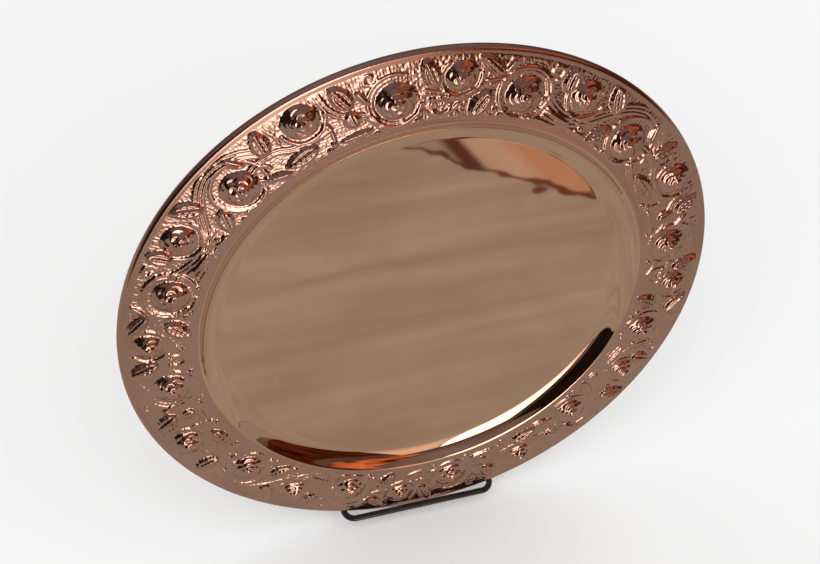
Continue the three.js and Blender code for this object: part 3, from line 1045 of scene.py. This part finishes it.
def table_card():
    """The table top that the well mirrors, with a dark line along a ragged edge and cloth past it."""
    corners = [(x, y, TABLE_LIFT) for x, y in TABLE_CORNERS]
    piece = new_mesh("table_card", corners, [range(len(corners))])
    material, nodes, links, glow = emitter("table_card")
    place_in = nodes.new("ShaderNodeTexCoord").outputs["Object"]
    out = distance_out(nodes, links, place_in)
    past_edge = add_ramp(nodes, links, out, ((0.360, (0, 0, 0, 1)), (0.366, (1, 1, 1, 1))))
    edge_line = (
        (0.350, (1, 1, 1, 1)),
        (0.362, (0.30, 0.14, 0.10, 1)),
        (0.380, (0.30, 0.14, 0.10, 1)),
        (0.395, (1, 1, 1, 1)),
    )
    table, cloth = table_colour(nodes, links, place_in), cloth_colour(nodes, links, place_in)
    laid = mixed(nodes, links, table, cloth, "MIX")
    links.new(past_edge, laid.inputs["Factor"])
    lined = mixed(nodes, links, laid.outputs["Result"], add_ramp(nodes, links, out, edge_line), "MULTIPLY")
    links.new(lined.outputs["Result"], glow.inputs["Color"])
    piece.data.materials.append(material)
    only_in_reflections(piece)


def room():
    """A dim brown room round the tray, seen only in reflections."""
    shape = bmesh.new()
    bmesh.ops.create_uvsphere(shape, u_segments=48, v_segments=24, radius=ROOM_RADIUS)
    faces = [[v.index for v in f.verts] for f in shape.faces]
    piece = new_mesh("room", [v.co for v in shape.verts], faces)
    shape.free()
    material, nodes, links, glow = emitter("room")
    place_in = nodes.new("ShaderNodeTexCoord").outputs["Object"]
    height = nodes.new("ShaderNodeSeparateXYZ")
    links.new(place_in, height.inputs["Vector"])
    share = share_between(nodes, links, height.outputs["Z"], -ROOM_RADIUS / 2, ROOM_RADIUS)
    stops = (
        (0.0, (0.30, 0.23, 0.17, 1)),
        (0.30, (0.22, 0.15, 0.11, 1)),
        (0.42, (0.10, 0.075, 0.06, 1)),
        (0.60, (0.09, 0.07, 0.058, 1)),
        (0.75, (0.19, 0.15, 0.125, 1)),
        (0.88, (0.20, 0.20, 0.21, 1)),
        (1.0, (0.22, 0.24, 0.27, 1)),
    )
    links.new(add_ramp(nodes, links, share, stops), glow.inputs["Color"])
    uneven = add_noise(nodes, links, place_in, 0.5, 2)
    links.new(add_range(nodes, links, uneven, 0.3, 1.7), glow.inputs["Strength"])
    piece.data.materials.append(material)
    only_in_reflections(piece)


def make_floor():
    corners = [(x * FLOOR_REACH, y * FLOOR_REACH, 0) for x, y in ((-1, -1), (1, -1), (1, 1), (-1, 1))]
    floor = new_mesh("floor", corners, [(0, 1, 2, 3)])
    material, nodes, links, shader = new_material("pale_floor")
    shader.inputs["Base Color"].default_value = (FLOOR_ALBEDO, FLOOR_ALBEDO, FLOOR_ALBEDO, 1)
    shader.inputs["Roughness"].default_value = 1.0
    shader.inputs["Specular IOR Level"].default_value = 0.0
    floor.data.materials.append(material)
    floor.visible_glossy = False


def make_sky():
    world = bpy.data.worlds.new("studio")
    bpy.context.scene.world = world
    world.use_nodes = True
    nodes, links = world.node_tree.nodes, world.node_tree.links
    background = nodes["Background"]
    background.inputs["Color"].default_value = (1.0, 1.0, 1.0, 1)
    sky = nodes.new("ShaderNodeSeparateXYZ")
    links.new(nodes.new("ShaderNodeTexCoord").outputs["Generated"], sky.inputs["Vector"])
    links.new(add_range(nodes, links, sky.outputs["Z"], *SKY), background.inputs["Strength"])


def make_stage():
    make_floor()
    make_sky()
    for location, power in SOFTBOXES:
        softbox(location, power)
    room()
    table_card()
    for setting in CARDS:
        card(*setting)
    bpy.context.scene.view_settings.view_transform = "Standard"


def softbox(location, power):
    light = bpy.data.lights.new("softbox", "AREA")
    light.shape = "SQUARE"
    light.size = SOFTBOX_SIZE
    light.energy = power
    lamp = bpy.data.objects.new("softbox", light)
    lamp.location = location
    lamp.rotation_mode = "QUATERNION"
    lamp.rotation_quaternion = (TRAY_CENTRE - Vector(location)).to_track_quat("-Z", "Y")
    lamp.visible_glossy = False
    bpy.context.scene.collection.objects.link(lamp)


make_camera()
paint_material()
vinyl_material()
make_tray()
make_easel()
make_stage()
